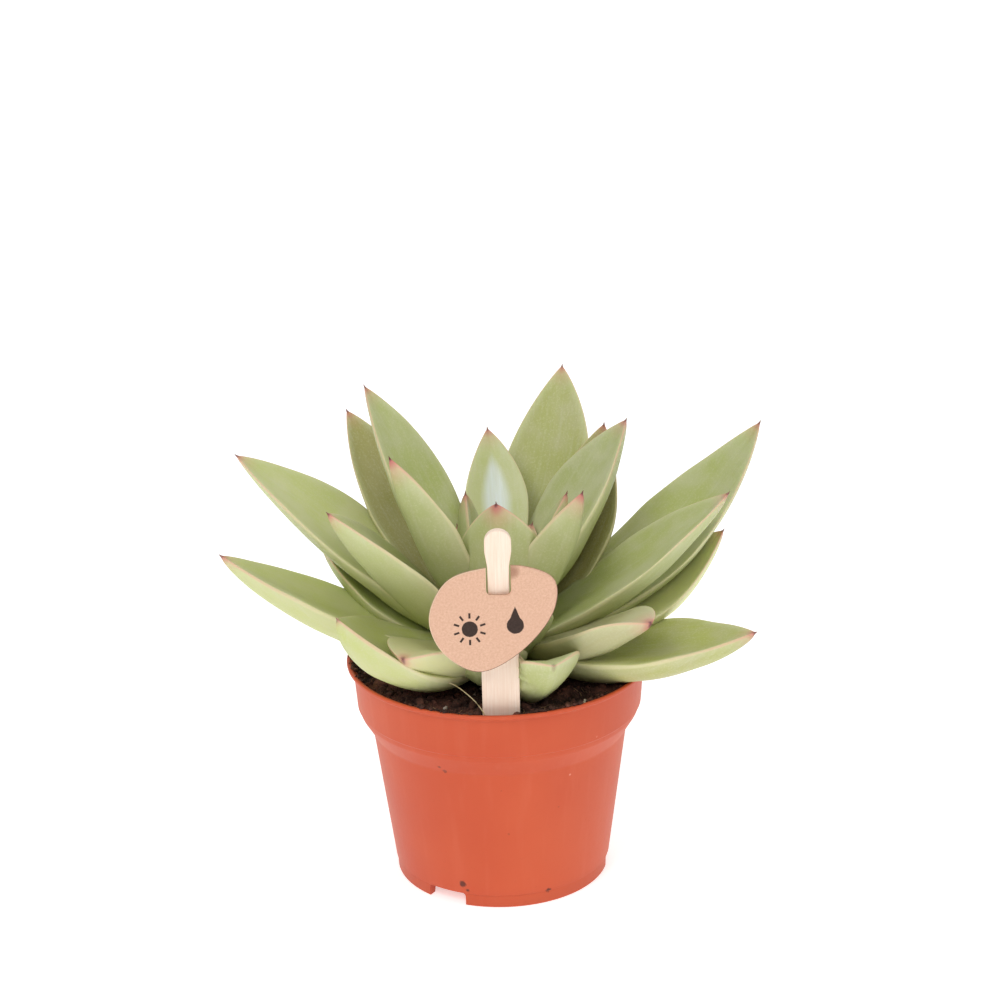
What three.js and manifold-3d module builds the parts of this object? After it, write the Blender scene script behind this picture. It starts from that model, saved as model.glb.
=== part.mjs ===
// Potted miranda echeveria: a rosette of thick pointed leaves on a short stem, in a 9 cm plastic
// nursery pot, with a round card tag hooked on a wooden pick at the front of the pot.
// Millimetres, +Z up. The origin is the centre of the pot's underside, which rests on the table.
// The front, where the tag stands, is -Y.
import * as THREE from "three";
import { mergeVertices } from "three/addons/utils/BufferGeometryUtils.js";
import Module from "manifold-3d";

const wasm = await Module();
wasm.setup();

// Driving dimensions
const CLEARANCE = 0.3; // gap between pieces that touch
const MERGE_DISTANCE = 1e-3; // points closer than this are one corner
const ROUND_STEPS = 40; // sides of the pot and the soil

const POT = {
  height: 68,
  lipRadius: 45,
  lipInnerRadius: 44,
  lipEdge: 1, // height of the lip's upright edge
  bandTop: 66, // the upright band under the lip
  bandTopRadius: 43.2,
  crease: 54, // small step in at the foot of the band
  creaseRadius: 42.3,
  creaseStep: 0.4,
  shoulderTop: 52, // the shoulder curves in to the wall
  shoulderTopRadius: 41.5,
  shoulderFoot: 46.2,
  shoulderFootRadius: 38,
  footStep: 4.2, // small step all round, just above the foot
  footStepRadius: 32.5,
  footStepHeight: 0.2,
  footRadius: 32,
  footFlare: 0.1,
  wall: 1,
  creaseInside: 0.4, // the creases sit this much higher inside
  floorCorner: 1, // chamfer where the floor meets a wall inside
  floorBottom: 4.2, // the drained floor stands clear of the table
  floorThickness: 1.1,
  padRadius: 11, // flat pad in the middle, level with the foot
  footWidth: 2.6,
};
const NOTCH = { width: 12.6, height: 4, depth: 8, turns: [358, 118, 238] };
const DRAIN_HOLE = { radius: 3.5, circleRadius: 20, count: 6, sides: 14 };

const SOIL = { edgeHeight: 64.4, edgeRadius: 41.7, middleHeight: 65.8, middleRadius: 14 };

const STEM = {
  rootTip: 38,
  rootTipRadius: 2.2,
  rootBend: 47,
  rootBendRadius: 6.4,
  collar: 56,
  radius: 7.5,
  taperFoot: 74, // above this the stem narrows into the heart of the rosette
  taperBend: 83,
  taperBendRadius: 5.2,
  taperTop: 90,
  taperTopRadius: 3.2,
  top: 93,
  sides: 16,
};

const PICK = {
  thickness: 1.8,
  width: 10.6,
  neckWidth: 6,
  headWidth: 7.4,
  tipWidth: 3.2,
  point: 12, // length of the tapered end in the soil
  shoulder: 48, // heights along the pick from its tip
  neckFoot: 53,
  neckTop: 63.5,
  headMiddle: 68,
  length: 74.5,
  lean: 6, // degrees, top towards the front
  soilPlace: new THREE.Vector3(0.5, -39, 65),
  soilDepth: 15,
};
const TAG = {
  thickness: 1.4,
  tilt: 8, // degrees, top towards the plant
  centre: new THREE.Vector3(-1.1, -46.2, 98),
  notchCentre: 1.6,
  notchDepth: 7.6,
  notchFoot: 4, // width of the notch at its foot, then above its corners
  notchWidth: 6.8,
};

// One row per leaf. turn: where it leaves the stem, degrees, 0 is +X and 90 is the back.
// rise: height of its foot on the stem. pitch: its slope at the foot, degrees. curl: how far it
// bends up along its length. roll: about its own length. sway: sideways bend. blunt: 0 for a
// drawn-out tip to 1 for a rounded end. nod: how far the last of the leaf bends down again.
const OUTER_LEAVES = [
  { turn: 335, rise: 73, length: 75, width: 32, thick: 11, pitch: -6, curl: 34, roll: 4 },
  { turn: 8, rise: 71, length: 70, width: 31, thick: 10, pitch: 2, curl: 50, roll: 12 },
  { turn: 32, rise: 70, length: 62, width: 27, thick: 9, pitch: 10, curl: 24, roll: 6 },
  { turn: 60, rise: 71, length: 62, width: 28, thick: 9, pitch: 10, curl: 26 },
  { turn: 86, rise: 70, length: 72, width: 29, thick: 9, pitch: 9, curl: 24 },
  { turn: 112, rise: 71, length: 70, width: 29, thick: 9, pitch: 10, curl: 26 },
  { turn: 138, rise: 70, length: 64, width: 28, thick: 9, pitch: 14, curl: 24 },
  { turn: 170, rise: 69, length: 55, width: 25, thick: 9, pitch: 20, curl: 30, roll: -5 },
  { turn: 191, rise: 70, length: 82, width: 27, thick: 10, pitch: 15, curl: 24, roll: -3 },
  { turn: 221, rise: 71, length: 60, width: 32, thick: 11, pitch: -3, curl: 58, roll: -16 },
  { turn: 238, rise: 73, length: 45, width: 25, thick: 9, pitch: 2, curl: 42, blunt: 0.9, nod: 50 },
  { turn: 262, rise: 71, length: 38, width: 24, thick: 9, pitch: 0, curl: 60 },
  { turn: 288, rise: 70, length: 46, width: 26, thick: 10, pitch: -12, curl: 78, blunt: 0.8, nod: 60 },
  { turn: 318, rise: 74, length: 54, width: 23, thick: 8, pitch: 5, curl: 45, blunt: 0.9, nod: 50 },
];
const MIDDLE_LEAVES = [
  { turn: 352, rise: 73, length: 77, width: 29, thick: 8, pitch: 29, curl: 18, roll: 8 },
  { turn: 16, rise: 72, length: 98, width: 32, thick: 9, pitch: 15, curl: 46, roll: 12 },
  { turn: 42, rise: 72, length: 71, width: 31, thick: 8, pitch: 29, curl: 55 },
  { turn: 60, rise: 77, length: 82, width: 27, thick: 8, pitch: 46, curl: 8, sway: 20 },
  { turn: 100, rise: 76, length: 48, width: 27, thick: 8, pitch: 24, curl: 12 },
  { turn: 120, rise: 74, length: 68, width: 27, thick: 8, pitch: 28, curl: 14 },
  { turn: 138, rise: 73, length: 79, width: 29, thick: 8, pitch: 41, curl: 15 },
  { turn: 150, rise: 77, length: 77, width: 25, thick: 8, pitch: 64, curl: -4, roll: -3 },
  { turn: 174, rise: 72, length: 89, width: 31, thick: 9, pitch: 40, curl: 0, roll: -10 },
  { turn: 206, rise: 75, length: 65, width: 33, thick: 9, pitch: 45, curl: 2, roll: -4 },
  { turn: 243, rise: 76, length: 35, width: 21, thick: 8, pitch: 26, curl: 40 },
  { turn: 285, rise: 75, length: 36, width: 21, thick: 8, pitch: 18, curl: 40 },
];
const INNER_LEAVES = [
  { turn: 281, rise: 78, length: 48, width: 26, thick: 8, pitch: 63, curl: 14, sway: -30, blunt: 0.1 },
  { turn: 320, rise: 81, length: 52, width: 20, thick: 7.5, pitch: 53, curl: 12, roll: -6 },
  { turn: 24, rise: 81, length: 65, width: 29, thick: 10, pitch: 52, curl: 6 },
  { turn: 214, rise: 81, length: 63, width: 21, thick: 7.5, pitch: 59, curl: 6, roll: 6 },
  { turn: 85, rise: 85, length: 50, width: 19, thick: 7, pitch: 60, curl: 0, sway: 20 },
  { turn: 165, rise: 85, length: 33, width: 14, thick: 6, pitch: 82, curl: 5 },
  { turn: 355, rise: 85, length: 37, width: 14, thick: 6, pitch: 63, curl: 5 },
  { turn: 128, rise: 82, length: 25, width: 15, thick: 6.5, pitch: 55, curl: 8 },
  { turn: 52, rise: 83, length: 24, width: 15, thick: 6.5, pitch: 55, curl: 8 },
];
const HEART_LEAVES = [
  { turn: 300, rise: 88, length: 24, width: 12, thick: 5, pitch: 74, curl: 6 },
  { turn: 60, rise: 89, length: 20, width: 11, thick: 5, pitch: 78, curl: 6 },
  { turn: 190, rise: 90, length: 18, width: 10, thick: 4.5, pitch: 80, curl: 6 },
];

const MATERIALS = {
  pot: new THREE.MeshStandardMaterial({ color: 0xd6684c, roughness: 0.55, metalness: 0 }),
  soil: new THREE.MeshStandardMaterial({ color: 0x2a211c, roughness: 1, metalness: 0 }),
  stem: new THREE.MeshStandardMaterial({ color: 0x8d9a63, roughness: 0.7, metalness: 0 }),
  leaf: new THREE.MeshStandardMaterial({ color: 0xa9b681, roughness: 0.5, metalness: 0 }),
  wood: new THREE.MeshStandardMaterial({ color: 0xf0d7be, roughness: 0.75, metalness: 0 }),
  card: new THREE.MeshStandardMaterial({ color: 0xe1b496, roughness: 0.85, metalness: 0 }),
};

const plant = new THREE.Group();

const radians = THREE.MathUtils.degToRad;

function addPiece(name, geometry, material) {
  const mesh = new THREE.Mesh(geometry, material);
  mesh.name = name;
  plant.add(mesh);
}

// Solids for cutting
function toSolid(geometry) {
  const bare = geometry.clone();
  bare.deleteAttribute("normal");
  bare.deleteAttribute("uv");
  const merged = mergeVertices(bare, MERGE_DISTANCE);
  const vertProperties = new Float32Array(merged.attributes.position.array);
  const triVerts = new Uint32Array(merged.index.array);
  return new wasm.Manifold(new wasm.Mesh({ numProp: 3, vertProperties, triVerts }));
}

function toGeometry(solid) {
  const cut = solid.getMesh();
  const geometry = new THREE.BufferGeometry();
  geometry.setAttribute("position", new THREE.BufferAttribute(cut.vertProperties, 3));
  geometry.setIndex(new THREE.BufferAttribute(cut.triVerts, 1));
  return geometry;
}

// A cut can leave crumbs beside the piece itself: the piece is the largest of them.
function largestPart(solid) {
  const parts = toSolid(toGeometry(solid)).decompose();
  return parts.sort((a, b) => b.volume() - a.volume())[0];
}

// A profile of [radius, height] pairs turned about the pot's axis.
function turned(profile, sides) {
  const points = profile.map(([radius, height]) => new THREE.Vector2(radius, height));
  return new THREE.LatheGeometry(points, sides).rotateX(Math.PI / 2);
}

// Pot
const floorTop = POT.floorBottom + POT.floorThickness;
const padTop = POT.floorThickness;

function potGeometry() {
  const profile = [
    [0, 0],
    [POT.padRadius, 0],
    [POT.padRadius + POT.wall, POT.floorBottom],
    [POT.footRadius - POT.footWidth - POT.wall, POT.floorBottom],
    [POT.footRadius - POT.footWidth, 0],
    [POT.footRadius, 0],
    [POT.footRadius + POT.footFlare, POT.footStep - POT.footStepHeight],
    [POT.footStepRadius, POT.footStep],
    [POT.shoulderFootRadius, POT.shoulderFoot],
    [POT.shoulderTopRadius, POT.shoulderTop],
    [POT.creaseRadius - POT.creaseStep, POT.crease - POT.creaseStep],
    [POT.creaseRadius, POT.crease],
    [POT.bandTopRadius, POT.bandTop],
    [POT.lipRadius, POT.height - POT.lipEdge],
    [POT.lipRadius, POT.height],
    [POT.lipInnerRadius, POT.height],
    [POT.bandTopRadius - POT.wall, POT.bandTop],
    [POT.shoulderTopRadius - POT.wall, POT.shoulderTop + POT.creaseInside],
    [POT.shoulderFootRadius - POT.wall, POT.shoulderFoot + POT.creaseInside],
    [POT.footStepRadius - POT.wall, floorTop + POT.floorCorner],
    [POT.footStepRadius - POT.wall - POT.floorCorner, floorTop],
    [POT.padRadius + POT.wall + POT.floorCorner, floorTop],
    [POT.padRadius, padTop],
    [0, padTop],
  ];
  let pot = toSolid(turned(profile, ROUND_STEPS));
  for (const turn of NOTCH.turns) {
    const block = new THREE.BoxGeometry(NOTCH.depth, NOTCH.width, 2 * NOTCH.height);
    block.translate(POT.footRadius, 0, 0).rotateZ(radians(turn));
    pot = pot.subtract(toSolid(block));
  }
  for (let i = 0; i < DRAIN_HOLE.count; i += 1) {
    const { radius, circleRadius, count, sides } = DRAIN_HOLE;
    const bore = new THREE.CylinderGeometry(radius, radius, 4 * floorTop, sides);
    bore.rotateX(Math.PI / 2).translate(circleRadius, 0, 0);
    pot = pot.subtract(toSolid(bore.rotateZ((2 * Math.PI * (i + 0.5)) / count)));
  }
  return toGeometry(pot);
}

// Stem: a short stout rootstock that carries every leaf
function stemGeometry(grow = 0) {
  const profile = [
    [0, STEM.rootTip - grow],
    [STEM.rootTipRadius + grow, STEM.rootTip - grow],
    [STEM.rootBendRadius + grow, STEM.rootBend],
    [STEM.radius + grow, STEM.collar],
    [STEM.radius + grow, STEM.taperFoot],
    [STEM.taperBendRadius + grow, STEM.taperBend],
    [STEM.taperTopRadius + grow, STEM.taperTop],
    [0, STEM.top + grow],
  ];
  return turned(profile, STEM.sides);
}

// Pick: its outline lies in its own plane, x across and y along from its tip
function pickGeometry(grow = 0) {
  const half = PICK.width / 2 + grow;
  const neck = PICK.neckWidth / 2 + grow;
  const head = PICK.headWidth / 2 + grow;
  const side = [
    [PICK.tipWidth / 2 + grow, -grow],
    [half, PICK.point],
    [half, PICK.shoulder],
    [neck, PICK.neckFoot],
    [neck, PICK.neckTop],
    [head, PICK.headMiddle],
  ];
  const outline = new THREE.Shape(side.map(([x, y]) => new THREE.Vector2(x, y)));
  outline.lineTo(head, PICK.length - head + grow);
  outline.absarc(0, PICK.length - head + grow, head, 0, Math.PI, false);
  side.reverse().forEach(([x, y]) => outline.lineTo(-x, y));
  const depth = PICK.thickness + 2 * grow;
  const blade = new THREE.ExtrudeGeometry(outline, { depth, bevelEnabled: false, curveSegments: 5 });
  blade.translate(0, -PICK.soilDepth, -depth / 2).rotateX(Math.PI / 2 + radians(PICK.lean));
  return blade.translate(...PICK.soilPlace);
}

// Tag: a pebble-shaped card with a notch in its top edge, hooked over the pick's neck
function tagGeometry(grow = 0) {
  const edge = [
    [-2, 14.7],
    [9, 14.9],
    [17, 11],
    [16.9, 2.6],
    [7.4, -9.3],
    [-4.6, -14.8],
    [-14.6, -8.6],
    [-17.8, 1],
    [-12.6, 11.2],
  ];
  const halfHeight = edge[0][1];
  const points = edge.map(([x, y]) => new THREE.Vector3(x, y, 0).multiplyScalar(1 + grow / halfHeight));
  const rim = new THREE.CatmullRomCurve3(points, true, "centripetal").getPoints(36);
  const outline = new THREE.Shape(rim.slice(0, -1).map(({ x, y }) => new THREE.Vector2(x, y)));
  const depth = TAG.thickness + 2 * grow;
  const place = (geometry) =>
    geometry
      .rotateX(Math.PI / 2 - radians(TAG.tilt))
      .translate(...TAG.centre);
  const card = new THREE.ExtrudeGeometry(outline, { depth, bevelEnabled: false });
  const solid = toSolid(place(card.translate(0, 0, -depth / 2)));
  if (grow > 0) return toGeometry(solid);
  const foot = halfHeight - TAG.notchDepth;
  const mouth = halfHeight + 1;
  const corner = foot + (TAG.notchWidth - TAG.notchFoot) / 2;
  const notchSide = [
    [-TAG.notchWidth / 2, corner],
    [-TAG.notchFoot / 2, foot],
    [TAG.notchFoot / 2, foot],
    [TAG.notchWidth / 2, corner],
    [TAG.notchWidth / 2, mouth],
    [-TAG.notchWidth / 2, mouth],
  ];
  const notch = new THREE.Shape(notchSide.map(([x, y]) => new THREE.Vector2(TAG.notchCentre + x, y)));
  const cutter = new THREE.ExtrudeGeometry(notch, { depth: 4 * depth, bevelEnabled: false });
  return toGeometry(solid.subtract(toSolid(place(cutter.translate(0, 0, -2 * depth)))));
}

// Soil: fills the pot, with plain holes for the stem and the pick
function soilGeometry() {
  const gap = CLEARANCE;
  const profile = [
    [0, padTop + gap],
    [POT.padRadius - gap, padTop + gap],
    [POT.padRadius + POT.wall + POT.floorCorner - gap, floorTop + gap],
    [POT.footStepRadius - POT.wall - POT.floorCorner - gap, floorTop + gap],
    [POT.footStepRadius - POT.wall - gap, floorTop + POT.floorCorner],
    [POT.shoulderFootRadius - POT.wall - gap, POT.shoulderFoot + POT.creaseInside],
    [POT.shoulderTopRadius - POT.wall - gap, POT.shoulderTop + POT.creaseInside],
    [SOIL.edgeRadius, SOIL.edgeHeight],
    [SOIL.middleRadius, SOIL.middleHeight],
    [0, SOIL.middleHeight],
  ];
  const soil = toSolid(turned(profile, ROUND_STEPS));
  const holes = toSolid(stemGeometry(gap)).add(toSolid(pickGeometry(gap)));
  return toGeometry(soil.subtract(holes));
}

// Leaf: a thick blade, hollowed above, keeled below, that narrows to a sharp tip
const LEAF = {
  footWidth: 0.4, // share of the full width at the foot
  widest: 0.56, // place of the full width along the leaf
  cup: 0.25, // how far the margins stand up, of the half width
  topShare: 0.22, // share of the thickness above the margins
  footThickness: 0.45, // share of the full thickness at the foot
  thickest: 0.32,
  fall: 1.6, // how late both fall off towards the tip
  bluntFall: 1, // and how much later on a blunt leaf
  widthFall: 0.88,
  bluntWidthFall: -0.38,
  thicknessFall: 0.62,
  bluntThicknessFall: -0.2,
  keelFoot: 0.15, // how sharp the keel is at the foot, 0 round to 1
  keelGain: 0.5, // and how much sharper at the tip
  nodDelay: 6, // the power of t that keeps a nod to the end of the leaf
  rings: [0, 0.17, 0.36, 0.57, 0.76, 0.91],
  section: [0, 45, 90, 135, 180, 225, 270, 315], // degrees round the section, 270 is the keel
};

function leafWidth(t, blunt) {
  if (t < LEAF.widest) {
    return LEAF.footWidth + (1 - LEAF.footWidth) * Math.sin((Math.PI / 2) * (t / LEAF.widest));
  }
  const past = (t - LEAF.widest) / (1 - LEAF.widest);
  const shoulder = 1 - past ** (LEAF.fall + LEAF.bluntFall * blunt);
  return shoulder ** (LEAF.widthFall + LEAF.bluntWidthFall * blunt);
}

function leafThickness(t, blunt) {
  if (t < LEAF.thickest) {
    const rise = Math.sin((Math.PI / 2) * (t / LEAF.thickest));
    return LEAF.footThickness + (1 - LEAF.footThickness) * rise;
  }
  const past = (t - LEAF.thickest) / (1 - LEAF.thickest);
  const shoulder = 1 - past ** (LEAF.fall + LEAF.bluntFall * blunt);
  return shoulder ** (LEAF.thicknessFall + LEAF.bluntThicknessFall * blunt);
}

// The leaf's own directions at t: along it, across it and up from its hollow face.
function leafFrame({ turn, pitch, curl, roll = 0, sway = 0, nod = 0 }, t) {
  const heading = radians(turn + sway * t);
  const slope = radians(pitch + curl * t - nod * t ** LEAF.nodDelay);
  const along = new THREE.Vector3(
    Math.cos(slope) * Math.cos(heading),
    Math.cos(slope) * Math.sin(heading),
    Math.sin(slope),
  );
  const across = new THREE.Vector3(-Math.sin(heading), Math.cos(heading), 0);
  const up = new THREE.Vector3().crossVectors(along, across);
  across.applyAxisAngle(along, radians(roll));
  up.applyAxisAngle(along, radians(roll));
  return { along, across, up };
}

// The middle line's point at t, stepped from the foot.
function leafPoint(leaf, start, t) {
  const steps = 24;
  const heading = radians(leaf.turn);
  const point = new THREE.Vector3(start * Math.cos(heading), start * Math.sin(heading), leaf.rise);
  for (let i = 0; i < steps; i += 1) {
    const { along } = leafFrame(leaf, (t * (i + 0.5)) / steps);
    point.addScaledVector(along, (leaf.length * t) / steps);
  }
  return point;
}

// grow gives the leaf's own solid a skin of clearance, wider at the thin margins and the tip.
function leafGeometry(leaf, start, grow = 0) {
  const { blunt = 0 } = leaf;
  const positions = [];
  const addPoint = (point) => positions.push(point.x, point.y, point.z);
  for (const t of LEAF.rings) {
    const { along, across, up } = leafFrame(leaf, t);
    const centre = leafPoint(leaf, start, t);
    if (t === 0) centre.addScaledVector(along, -grow);
    const half = (leaf.width / 2) * leafWidth(t, blunt);
    const thick = leaf.thick * leafThickness(t, blunt);
    const keel = LEAF.keelFoot + LEAF.keelGain * t;
    for (const angle of LEAF.section) {
      const c = Math.cos(radians(angle));
      const s = angle % 180 === 0 ? 0 : Math.sin(radians(angle));
      const round = (1 - keel) * Math.abs(s) + keel * (1 - Math.abs(c));
      const above = s >= 0 ? LEAF.topShare * s : -(1 - LEAF.topShare) * round;
      const isMargin = s === 0;
      const clear = grow * (isMargin ? 0.8 : Math.sign(s));
      const lift = LEAF.cup * half * c * c + thick * above + clear;
      const margin = isMargin ? 2 * grow : grow;
      addPoint(centre.clone().addScaledVector(across, (half + margin) * c).addScaledVector(up, lift));
    }
  }
  const sides = LEAF.section.length;
  const keelLine = LEAF.section.indexOf(270);
  const last = (LEAF.rings.length - 1) * sides;
  const tip = last + sides;
  const { along } = leafFrame(leaf, 1);
  addPoint(leafPoint(leaf, start, 1).addScaledVector(along, 3 * grow));
  const index = [];
  for (let i = 0; i < sides; i += 1) {
    const next = (i + 1) % sides;
    for (let row = 0; row < last; row += sides) {
      index.push(row + i, row + next, row + sides + next);
      index.push(row + i, row + sides + next, row + sides + i);
    }
    index.push(last + i, last + next, tip);
    if (i !== keelLine && next !== keelLine) index.push(keelLine, next, i);
  }
  const geometry = new THREE.BufferGeometry();
  geometry.setAttribute("position", new THREE.Float32BufferAttribute(positions, 3));
  geometry.setIndex(index);
  return geometry;
}

// The pot and the soil with the clearance round them, which the leaves lie clear of.
function groundGeometry() {
  const gap = CLEARANCE;
  return turned(
    [
      [0, 0],
      [POT.lipRadius + gap, 0],
      [POT.lipRadius + gap, POT.height + gap],
      [POT.lipInnerRadius - gap, POT.height + gap],
      [POT.bandTopRadius - POT.wall - gap, POT.bandTop],
      [POT.bandTopRadius - POT.wall - gap, SOIL.edgeHeight + gap],
      [SOIL.middleRadius, SOIL.middleHeight + gap],
      [0, SOIL.middleHeight + gap],
    ],
    ROUND_STEPS,
  );
}

// Every leaf gives way to the pieces placed before it.
const placed = [
  { solid: toSolid(groundGeometry()) },
  { solid: toSolid(stemGeometry(CLEARANCE)) },
  { solid: toSolid(tagGeometry(CLEARANCE)) },
  { solid: toSolid(pickGeometry(CLEARANCE)) },
];

function boxOf(solid) {
  const { min, max } = solid.boundingBox();
  return new THREE.Box3(new THREE.Vector3(...min), new THREE.Vector3(...max));
}

function addLeaves(whorl, start, leaves) {
  leaves.forEach((leaf, i) => {
    let solid = toSolid(leafGeometry(leaf, start));
    for (const other of placed) {
      if (boxOf(solid).intersectsBox(boxOf(other.solid))) solid = solid.subtract(other.solid);
    }
    placed.push({ solid: toSolid(leafGeometry(leaf, start, CLEARANCE)) });
    const name = `leaf_${whorl}_${String(i + 1).padStart(2, "0")}`;
    addPiece(name, toGeometry(largestPart(solid)), MATERIALS.leaf);
  });
}

addPiece("pot", potGeometry(), MATERIALS.pot);
addPiece("soil", soilGeometry(), MATERIALS.soil);
addPiece("stem", stemGeometry(), MATERIALS.stem);
addPiece("pick", pickGeometry(), MATERIALS.wood);
addPiece("tag", tagGeometry(), MATERIALS.card);
addLeaves("inner", 5.5, INNER_LEAVES);
addLeaves("middle", 7, MIDDLE_LEAVES);
addLeaves("outer", 7.5, OUTER_LEAVES);
addLeaves("heart", 3, HEART_LEAVES);

export default plant;
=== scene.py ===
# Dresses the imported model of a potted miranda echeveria: fleshy leaves with pink margins and red
# tips, a terracotta plastic pot, peat with perlite, and a card tag hooked on a wooden pick.
import math
import random

import bmesh
import bpy
import numpy as np
from mathutils import Matrix, Vector, noise


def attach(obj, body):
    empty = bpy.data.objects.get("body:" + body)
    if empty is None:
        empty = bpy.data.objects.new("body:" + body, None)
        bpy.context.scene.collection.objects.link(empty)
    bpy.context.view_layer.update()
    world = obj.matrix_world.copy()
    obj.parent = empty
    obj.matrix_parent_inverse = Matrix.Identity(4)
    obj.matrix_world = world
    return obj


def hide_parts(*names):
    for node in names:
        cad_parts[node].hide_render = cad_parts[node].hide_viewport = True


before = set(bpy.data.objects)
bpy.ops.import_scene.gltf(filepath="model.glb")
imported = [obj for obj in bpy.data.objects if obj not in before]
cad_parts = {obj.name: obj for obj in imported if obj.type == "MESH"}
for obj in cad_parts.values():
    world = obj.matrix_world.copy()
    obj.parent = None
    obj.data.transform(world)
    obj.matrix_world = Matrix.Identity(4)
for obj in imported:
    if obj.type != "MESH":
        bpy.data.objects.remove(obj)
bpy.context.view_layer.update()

mm = 0.001  # the sizes below are in millimetres
print("frame loaded:", len(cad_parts), "nodes")


# Shader arithmetic
class Wire:  # one socket of a material, ready for sums
    def __init__(self, paint, socket):
        self.paint = paint
        self.socket = socket

    def math(self, operation, *others):
        return self.paint.node("ShaderNodeMath", {"operation": operation}, [self, *others])

    def __add__(self, other):
        return self.math("ADD", other)

    def __sub__(self, other):
        return self.math("SUBTRACT", other)

    def __rsub__(self, other):
        return self.paint.node("ShaderNodeMath", {"operation": "SUBTRACT"}, [other, self])

    def __mul__(self, other):
        return self.math("MULTIPLY", other)

    def __truediv__(self, other):
        return self.math("DIVIDE", other)

    def __pow__(self, power):
        return self.math("POWER", power)

    __radd__ = __add__
    __rmul__ = __mul__

    def ease(self, low, high):  # 0 below low, 1 above high, smooth between
        settings = {"interpolation_type": "SMOOTHSTEP"}
        return self.paint.node("ShaderNodeMapRange", settings, [self, low, high, 0.0, 1.0])


class Paint:  # a material; every node of it is made by node()
    def __init__(self, name, **constants):
        self.material = bpy.data.materials.new(name)
        self.material.use_nodes = True
        self.tree = self.material.node_tree
        self.skin = self.tree.nodes["Principled BSDF"]
        for socket, value in constants.items():
            self.skin.inputs[socket.replace("_", " ")].default_value = value

    def node(self, kind, settings=None, values=(), out=0):
        made = self.tree.nodes.new(kind)
        for key, value in (settings or {}).items():
            setattr(made, key, value)
        for key, value in values.items() if isinstance(values, dict) else enumerate(values):
            self.feed(made.inputs[key], value)
        return Wire(self, made.outputs[out])

    def feed(self, socket, value):
        if isinstance(value, Wire):
            self.tree.links.new(value.socket, socket)
        elif hasattr(value, "__len__") and len(value) == 3 and socket.type == "RGBA":
            socket.default_value = (*value, 1)
        else:
            socket.default_value = value

    def mark(self, name):  # a number stored at each point of the mesh
        return self.node("ShaderNodeAttribute", {"attribute_name": name}, out="Fac")

    def place(self, name):  # a vector stored at each point of the mesh
        return self.node("ShaderNodeAttribute", {"attribute_name": name}, out="Vector")

    def spread(self, place, scale):  # a place stretched along its own axes
        settings = {"operation": "MULTIPLY"}
        return self.node("ShaderNodeVectorMath", settings, [place, scale])

    def cloud(self, place, scale, detail=3.0, rough=0.55):
        values = {"Vector": place, "Scale": scale, "Detail": detail, "Roughness": rough}
        return self.node("ShaderNodeTexNoise", None, values)

    def blend(self, share, first, second):  # mixes two colours
        settings = {"data_type": "RGBA"}
        return self.node("ShaderNodeMix", settings, {0: share, 6: first, 7: second}, out=2)

    def bump(self, height, distance, strength=1.0):
        values = {"Height": height, "Distance": distance, "Strength": strength}
        self.feed(self.skin.inputs["Normal"], self.node("ShaderNodeBump", None, values))

    def finish(self, **sockets):
        for socket, value in sockets.items():
            self.feed(self.skin.inputs[socket.replace("_", " ")], value)
        return self.material


def tint(red, green, blue):  # a screen colour, 0 to 255, as the light that it stands for
    return tuple((c / 255 / 12.92) if c < 10.3 else ((c / 255 + 0.055) / 1.055) ** 2.4
                 for c in (red, green, blue))


# Mesh helpers
def makePiece(name, points, faces, material, marks=None, stands=(), sharp=None):
    mesh = bpy.data.meshes.new(name)
    mesh.from_pydata([tuple(p) for p in np.asarray(points) * mm], [], faces)
    mesh.validate()
    for key, values in (marks or {}).items():
        values = np.asarray(values, np.float32)
        if values.ndim == 2:
            layer = mesh.attributes.new(key, "FLOAT_VECTOR", "POINT")
            layer.data.foreach_set("vector", values.ravel())
        else:
            layer = mesh.attributes.new(key, "FLOAT", "POINT")
            layer.data.foreach_set("value", values)
    mesh.shade_smooth()
    if sharp:
        mesh.set_sharp_from_angle(angle=math.radians(sharp))
    mesh.materials.append(material)
    piece = bpy.data.objects.new(name, mesh)
    bpy.context.scene.collection.objects.link(piece)
    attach(piece, "root")
    if stands:
        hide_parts(*stands)
    return piece


def tubeFaces(rings, sides):  # quads between closed rings of points
    faces = []
    for row in range(rings - 1):
        for i in range(sides):
            j = (i + 1) % sides
            a, b = row * sides, (row + 1) * sides
            faces.append((a + i, a + j, b + j, b + i))
    return faces


def latheMesh(profile, sides):  # turns [radius, height] pairs; the ends may lie on the axis
    points, faces, rows = [], [], []
    for radius, height in profile:
        count = 1 if radius < 1e-6 else sides
        rows.append((len(points), count))
        for i in range(count):
            a = 2 * math.pi * i / sides
            points.append((radius * math.cos(a), radius * math.sin(a), height))
    for (a, na), (b, nb) in zip(rows, rows[1:]):
        for i in range(sides):
            j = (i + 1) % sides
            if na == 1:
                faces.append((a, b + j, b + i))
            elif nb == 1:
                faces.append((a + i, a + j, b))
            else:
                faces.append((a + i, a + j, b + j, b + i))
    return np.array(points), faces


def rounded(corners, steps=5):  # [x, y, radius] corners as a line with its corners rounded
    line = []
    for i, (x, y, radius) in enumerate(corners):
        here = Vector((x, y))
        if radius == 0 or i in (0, len(corners) - 1):
            line.append((x, y))
            continue
        before = Vector(corners[i - 1][:2]) - here
        after = Vector(corners[i + 1][:2]) - here
        half = before.angle(after) / 2
        reach = min(radius / math.tan(half), 0.48 * before.length, 0.48 * after.length)
        start, end = here + before.normalized() * reach, here + after.normalized() * reach
        for k in range(steps + 1):
            s = k / steps
            line.append(tuple((1 - s) ** 2 * start + 2 * s * (1 - s) * here + s * s * end))
    return line


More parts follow.
